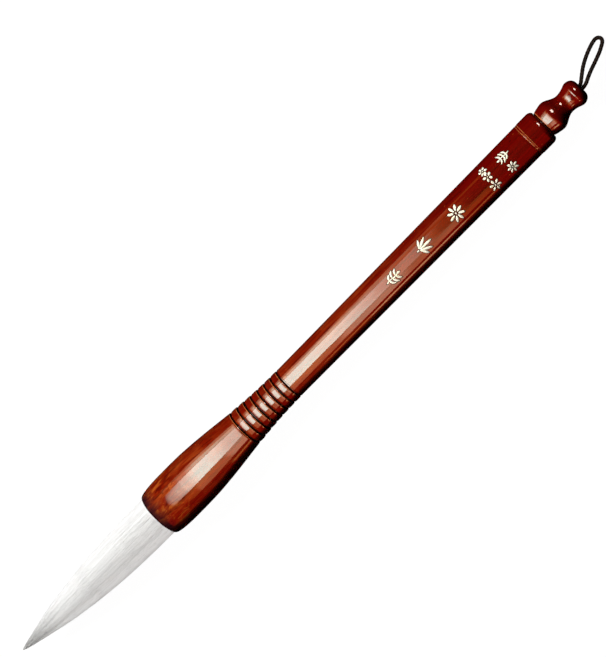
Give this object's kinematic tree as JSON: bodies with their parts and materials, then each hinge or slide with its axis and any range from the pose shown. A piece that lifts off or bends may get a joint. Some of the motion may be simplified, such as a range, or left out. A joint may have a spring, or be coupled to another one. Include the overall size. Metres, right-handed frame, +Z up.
{
  "type": "calligraphy brush",
  "caption": "Large writing brush: white hair tuft, flared lacquered-wood ferrule with a ringed neck, straight handle, turned finial and a cord loop to hang it by.",
  "frame": {"origin": "on the table, under the middle of the brush without its loop", "axes": "+X along the brush from the tip to the finial, +Z up from the table, +Y to the side that the loop leans to"},
  "size_m": [0.295, 0.0194, 0.0195],
  "materials": {
    "lacquered_wood": "dark red-brown stain under glossy lacquer",
    "white_hair": "fine straight white hair, soft sheen",
    "brown_hair": "stiff brown hair, hidden in the core",
    "black_cord": "waxed black braid",
    "cotton_thread": "natural cotton",
    "resin": "amber resin, hidden",
    "glue": "dried glue, hidden"
  },
  "bodies": {
    "handle": {"ferrule": "lacquered_wood", "shaft": "lacquered_wood", "end_collar": "lacquered_wood", "finial": "lacquered_wood", "loop_knot": "black_cord", "hair_coat_root": "white_hair", "hair_core_root": "brown_hair", "root_binding_thread": "cotton_thread", "root_resin_seal": "resin", "ferrule_glue": "glue"},
    "tuft_belly": {"hair_coat_belly": "white_hair", "hair_core_belly": "brown_hair"},
    "tuft_tip": {"hair_coat_tip": "white_hair", "hair_core_tip": "brown_hair"},
    "cord_loop": {"hanging_loop": "black_cord"}
  },
  "joints": [
    {"name": "belly_bend", "type": "hinge", "parent": "handle", "child": "tuft_belly", "pos_m": [-0.09109, 0, 0.01037], "axis": [0.0177, 0, 0.9998], "range_deg": [-30, 30], "stiffness_Nm_per_rad": 0.02},
    {"name": "tip_bend", "type": "hinge", "parent": "tuft_belly", "child": "tuft_tip", "pos_m": [-0.11708, 0, 0.01083], "axis": [0, 1, 0], "range_deg": [-45, 45], "stiffness_Nm_per_rad": 0.006},
    {"name": "loop_swing", "type": "hinge", "parent": "handle", "child": "cord_loop", "pos_m": [0.13968, 0, 0.00628], "axis": [0, 0, 1], "range_deg": [-72, 27]}
  ]
}
